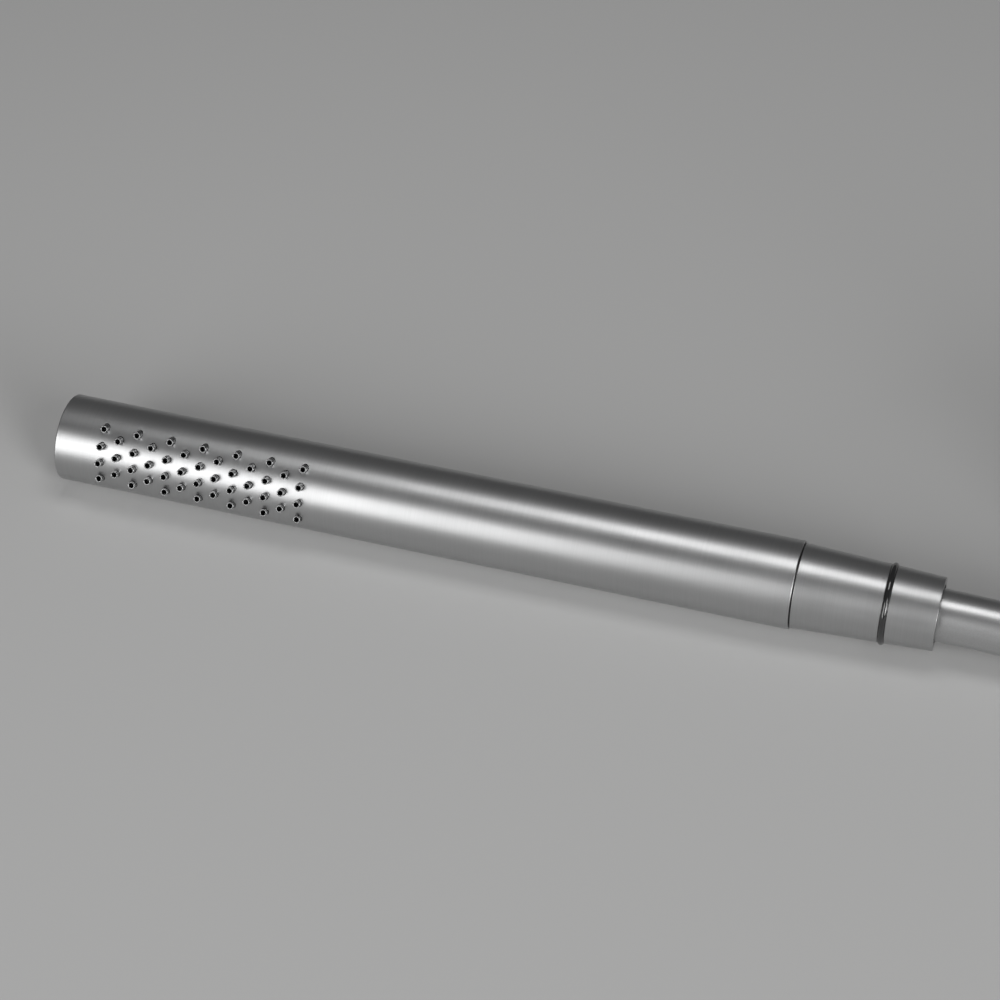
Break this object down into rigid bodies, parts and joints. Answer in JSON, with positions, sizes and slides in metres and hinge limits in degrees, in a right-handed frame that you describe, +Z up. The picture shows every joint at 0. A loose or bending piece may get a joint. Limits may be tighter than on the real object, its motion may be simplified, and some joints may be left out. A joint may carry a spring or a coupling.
{
  "type": "hand shower",
  "caption": "Slim stick-shaped hand shower with a staggered field of nozzles at its head, a conical swivel hose nut with a rubber ring, and a smooth hose tied in a hank.",
  "frame": {"origin": "on the floor under the middle of the shower as it lies, without its hose", "axes": "+X along the shower from its head to its hose, +Z up, the nozzles turned towards -Y and upwards"},
  "size_m": [0.525, 0.1124, 0.0552],
  "materials": {
    "steel": "brushed round the tube, satin",
    "nozzle_steel": "drawn tube, satin, cut ends",
    "mat_silicone": "moulded silicone, slight sheen",
    "black_rubber": "moulded rubber",
    "inner_plastic": "moulded, matt",
    "valve_plastic": "moulded, matt",
    "brass": "turned",
    "spring_steel": "bright wire",
    "hose_silver": "smooth silver hose, satin sheen",
    "tie_black": "woven strap",
    "nut_chrome": "polished"
  },
  "bodies": {
    "hose": {"hose": "hose_silver", "hose_hank": "hose_silver", "hose_hank_top": "hose_silver", "hank_ties": "tie_black", "hose_stem": "brass", "stem_seal": "black_rubber", "crimp_sleeve": "steel", "far_crimp_sleeve": "steel", "far_stem": "brass", "far_washer": "black_rubber"},
    "shower": {"body_tube": "steel", "nozzle_mat": "mat_silicone", "nozzle_tubes": "nozzle_steel", "cone_nut": "steel", "grip_o_ring": "black_rubber", "head_end_cap": "steel", "end_cap_seal": "black_rubber", "nozzle_carrier": "inner_plastic", "water_tube": "inner_plastic", "water_tube_seals": "black_rubber", "inlet_socket": "steel", "socket_seal": "black_rubber", "check_valve_body": "valve_plastic", "check_valve_spring": "spring_steel", "check_valve_seal": "black_rubber", "flow_regulator": "valve_plastic", "regulator_ring": "black_rubber", "filter_screen": "spring_steel", "hose_washer": "black_rubber", "swivel_bush": "inner_plastic"},
    "valve_poppet": {"check_valve_poppet": "valve_plastic"},
    "far_nut": {"far_nut": "nut_chrome"}
  },
  "joints": [
    {"name": "shower_swivel", "type": "hinge", "parent": "hose", "child": "shower", "pos_m": [0, 0, 0.0125], "axis": [1, 0, 0], "continuous": true},
    {"name": "valve_travel", "type": "slide", "parent": "shower", "child": "valve_poppet", "axis": [-1, 0, 0], "range_m": [0, 0.0025], "stiffness_N_per_m": 80, "springref_m": -0.002, "deforming": ["check_valve_spring"]},
    {"name": "far_nut_turn", "type": "hinge", "parent": "hose", "child": "far_nut", "pos_m": [0.2586, 0.0858, 0.0432], "axis": [-1, 0, 0], "continuous": true}
  ]
}
